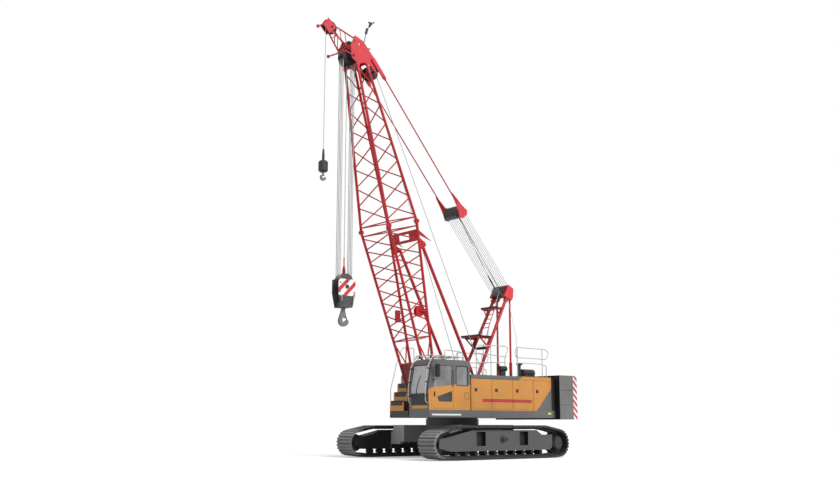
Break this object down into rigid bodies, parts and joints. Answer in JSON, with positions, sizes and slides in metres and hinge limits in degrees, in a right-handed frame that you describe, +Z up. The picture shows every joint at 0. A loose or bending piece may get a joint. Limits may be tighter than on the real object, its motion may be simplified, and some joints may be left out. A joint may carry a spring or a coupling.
{
  "type": "crawler crane",
  "caption": "Crawler crane with a two-section lattice boom, luffing gear on a rear gantry, hook block and auxiliary hook, cab and counterweight.",
  "frame": {"origin": "on the ground under the slew axis", "axes": "+X forward, +Y to the cab side, +Z up"},
  "size_m": [10.4803, 5.35, 14.8305],
  "materials": {
    "grey_paint": "semi-gloss paint",
    "track_steel": "worn steel",
    "orange_paint": "gloss paint",
    "glass": "tinted",
    "seat_fabric": "woven",
    "pin_steel": "machined",
    "dark_paint": "satin paint",
    "red_paint": "gloss paint",
    "rope_steel": "wire rope"
  },
  "bodies": {
    "undercarriage": {"carbody": "grey_paint", "slew_ring": "grey_paint", "side_frame_left": "grey_paint", "side_frame_right": "grey_paint", "track_left": "track_steel", "track_right": "track_steel", "end_wheels_left": "track_steel", "end_wheels_right": "track_steel", "rollers_left": "track_steel", "rollers_right": "track_steel"},
    "upper": {"upper_frame": "grey_paint", "foot_pins": "pin_steel", "counterweight": "grey_paint", "cab_shell": "orange_paint", "cab_glass": "glass", "operator_seat": "seat_fabric", "house_left": "orange_paint", "house_right": "orange_paint", "engine": "dark_paint", "winches": "dark_paint", "right_steps": "orange_paint", "gantry": "red_paint", "gantry_sheaves": "dark_paint", "gantry_platforms": "red_paint", "roof_gear": "dark_paint"},
    "cab_door": {"cab_door": "orange_paint", "door_glass": "glass"},
    "boom": {"boom_butt": "red_paint", "butt_lacing": "red_paint", "boom_top": "red_paint", "top_lacing": "red_paint", "boom_head": "red_paint", "head_sheaves": "dark_paint", "aux_tip": "red_paint"},
    "luff_line": {"luffing_ropes": "rope_steel"},
    "pendants": {"equaliser": "dark_paint", "pendants": "red_paint"},
    "stop_rods": {"stop_rods": "dark_paint"},
    "stop_tubes": {"stop_tubes": "red_paint"},
    "main_line": {"hoist_falls": "rope_steel"},
    "hook_block": {"hook_block": "dark_paint"},
    "main_hook": {"main_hook": "dark_paint"},
    "aux_line": {"aux_rope": "rope_steel"},
    "aux_ball": {"aux_ball": "dark_paint"},
    "aux_hook": {"aux_hook": "dark_paint"},
    "house_door_left_1": {"house_door_left_1": "orange_paint"},
    "house_door_left_2": {"house_door_left_2": "orange_paint"},
    "house_door_left_3": {"house_door_left_3": "orange_paint"},
    "house_door_left_4": {"house_door_left_4": "orange_paint"},
    "house_door_right_1": {"house_door_right_1": "orange_paint"},
    "house_door_right_2": {"house_door_right_2": "orange_paint"},
    "house_door_right_3": {"house_door_right_3": "orange_paint"}
  },
  "joints": [
    {"name": "slew", "type": "hinge", "parent": "undercarriage", "child": "upper", "pos_m": [0, 0, 1.325], "axis": [0, 0, 1], "continuous": true},
    {"name": "luff", "type": "hinge", "parent": "upper", "child": "boom", "pos_m": [1.261, 0, 1.859], "axis": [0, 1, 0], "range_deg": [-5, 45]},
    {"name": "luff_swing", "type": "hinge", "parent": "upper", "child": "luff_line", "pos_m": [-2.502, 0, 6.042], "axis": [0, 1, 0], "range_deg": [-5.01, 41.05]},
    {"name": "luff_reach", "type": "slide", "parent": "luff_line", "child": "pendants", "axis": [0.6467, 0, 0.7628], "range_m": [-0.4874, 4.2267], "deforming": ["luffing_ropes"]},
    {"name": "stop_swing", "type": "hinge", "parent": "upper", "child": "stop_rods", "pos_m": [-0.984, 0, 1.8], "axis": [0, 1, 0], "range_deg": [-4.33, 34.93]},
    {"name": "stop_reach", "type": "slide", "parent": "stop_rods", "child": "stop_tubes", "axis": [0.4653, 0, 0.8851], "range_m": [-0.1521, 1.2092]},
    {"name": "main_hang", "type": "hinge", "parent": "boom", "child": "main_line", "pos_m": [4.738, 0, 13.6], "axis": [0, 1, 0], "range_deg": [-45.5, 5.5]},
    {"name": "main_hoist", "type": "slide", "parent": "main_line", "child": "hook_block", "axis": [0, 0, 1], "range_m": [-4.2, 5], "deforming": ["hoist_falls"]},
    {"name": "main_swivel", "type": "hinge", "parent": "hook_block", "child": "main_hook", "pos_m": [4.738, 0, 4.6], "axis": [0, 0, 1], "continuous": true},
    {"name": "aux_hang", "type": "hinge", "parent": "boom", "child": "aux_line", "pos_m": [5.45, 0, 14.54], "axis": [0, 1, 0], "range_deg": [-45.5, 5.5]},
    {"name": "aux_hoist", "type": "slide", "parent": "aux_line", "child": "aux_ball", "axis": [0, 0, 1], "range_m": [-8.9, 3], "deforming": ["aux_rope"]},
    {"name": "aux_swivel", "type": "hinge", "parent": "aux_ball", "child": "aux_hook", "pos_m": [5.6403, 0, 9.3], "axis": [0, 0, 1], "continuous": true},
    {"name": "cab_door_hinge", "type": "hinge", "parent": "upper", "child": "cab_door", "pos_m": [1.41, 1.7, 2.3], "axis": [0, 0, 1], "range_deg": [0, 85]},
    {"name": "house_door_left_1_hinge", "type": "hinge", "parent": "upper", "child": "house_door_left_1", "pos_m": [-0.33, 1.7, 2.2], "axis": [0, 0, 1], "range_deg": [0, 90]},
    {"name": "house_door_left_2_hinge", "type": "hinge", "parent": "upper", "child": "house_door_left_2", "pos_m": [-1.347, 1.7, 2.2], "axis": [0, 0, 1], "range_deg": [0, 90]},
    {"name": "house_door_left_3_hinge", "type": "hinge", "parent": "upper", "child": "house_door_left_3", "pos_m": [-2.365, 1.7, 2.2], "axis": [0, 0, 1], "range_deg": [0, 90]},
    {"name": "house_door_left_4_hinge", "type": "hinge", "parent": "upper", "child": "house_door_left_4", "pos_m": [-3.23, 1.7, 2.2], "axis": [0, 0, 1], "range_deg": [0, 90]},
    {"name": "house_door_right_1_hinge", "type": "hinge", "parent": "upper", "child": "house_door_right_1", "pos_m": [-0.674, -1.7, 2.2], "axis": [0, 0, -1], "range_deg": [0, 90]},
    {"name": "house_door_right_2_hinge", "type": "hinge", "parent": "upper", "child": "house_door_right_2", "pos_m": [-1.992, -1.7, 2.2], "axis": [0, 0, -1], "range_deg": [0, 90]},
    {"name": "house_door_right_3_hinge", "type": "hinge", "parent": "upper", "child": "house_door_right_3", "pos_m": [-3.23, -1.7, 2.2], "axis": [0, 0, -1], "range_deg": [0, 90]}
  ],
  "couplings": [
    {"joint": "luff_swing", "follows": "luff", "ratio": 0.90119},
    {"joint": "luff_reach", "follows": "luff", "m_per_rad": 5.3562},
    {"joint": "stop_swing", "follows": "luff", "ratio": 0.76516},
    {"joint": "stop_reach", "follows": "luff", "m_per_rad": 1.5142},
    {"joint": "main_hang", "follows": "luff", "ratio": -1},
    {"joint": "aux_hang", "follows": "luff", "ratio": -1}
  ]
}
